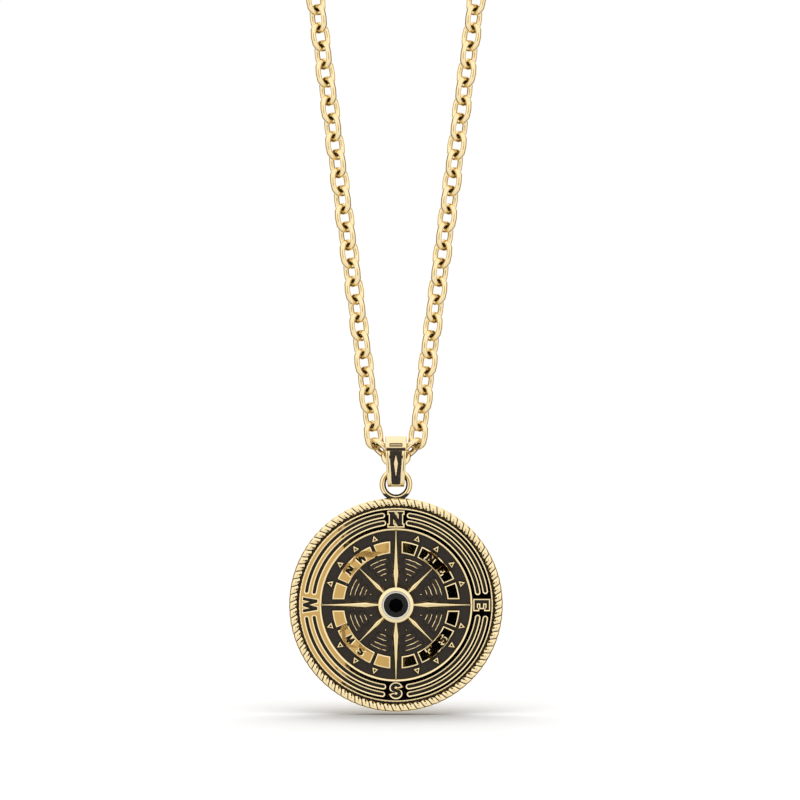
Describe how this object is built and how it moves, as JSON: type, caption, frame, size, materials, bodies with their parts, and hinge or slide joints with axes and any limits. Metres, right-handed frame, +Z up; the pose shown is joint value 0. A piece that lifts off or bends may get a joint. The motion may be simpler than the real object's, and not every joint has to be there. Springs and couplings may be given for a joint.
{
  "type": "compass pendant on its chain",
  "caption": "Round compass medallion with a black stone, hung by a ring and tapered bail on a closed loop of cable chain.",
  "frame": {"origin": "where the loop of chain hangs, at the inner side of the top of the loop, under the clasp", "axes": "+Z up, the face of the medallion looks along -Y, +X to the right of someone who looks at the face"},
  "size_m": [0.0654, 0.0052, 0.2856],
  "materials": {
    "gold": "polished gold plate, blackened in the recesses",
    "stone": "polished black, faceted"
  },
  "bodies": {
    "chain": {"chain_left": "gold", "chain_right": "gold", "clasp": "gold", "end_ring": "gold"},
    "bail": {"bail": "gold"},
    "pendant": {"medallion": "gold", "black_stone": "stone"}
  },
  "joints": [
    {"name": "bail_swing", "type": "hinge", "parent": "chain", "child": "bail", "pos_m": [0, 0, -0.24809], "axis": [1, 0, 0], "range_deg": [-35, 35]},
    {"name": "pendant_swing", "type": "hinge", "parent": "bail", "child": "pendant", "pos_m": [0, 0, -0.25038], "axis": [1, 0, 0], "range_deg": [-35, 35]}
  ]
}
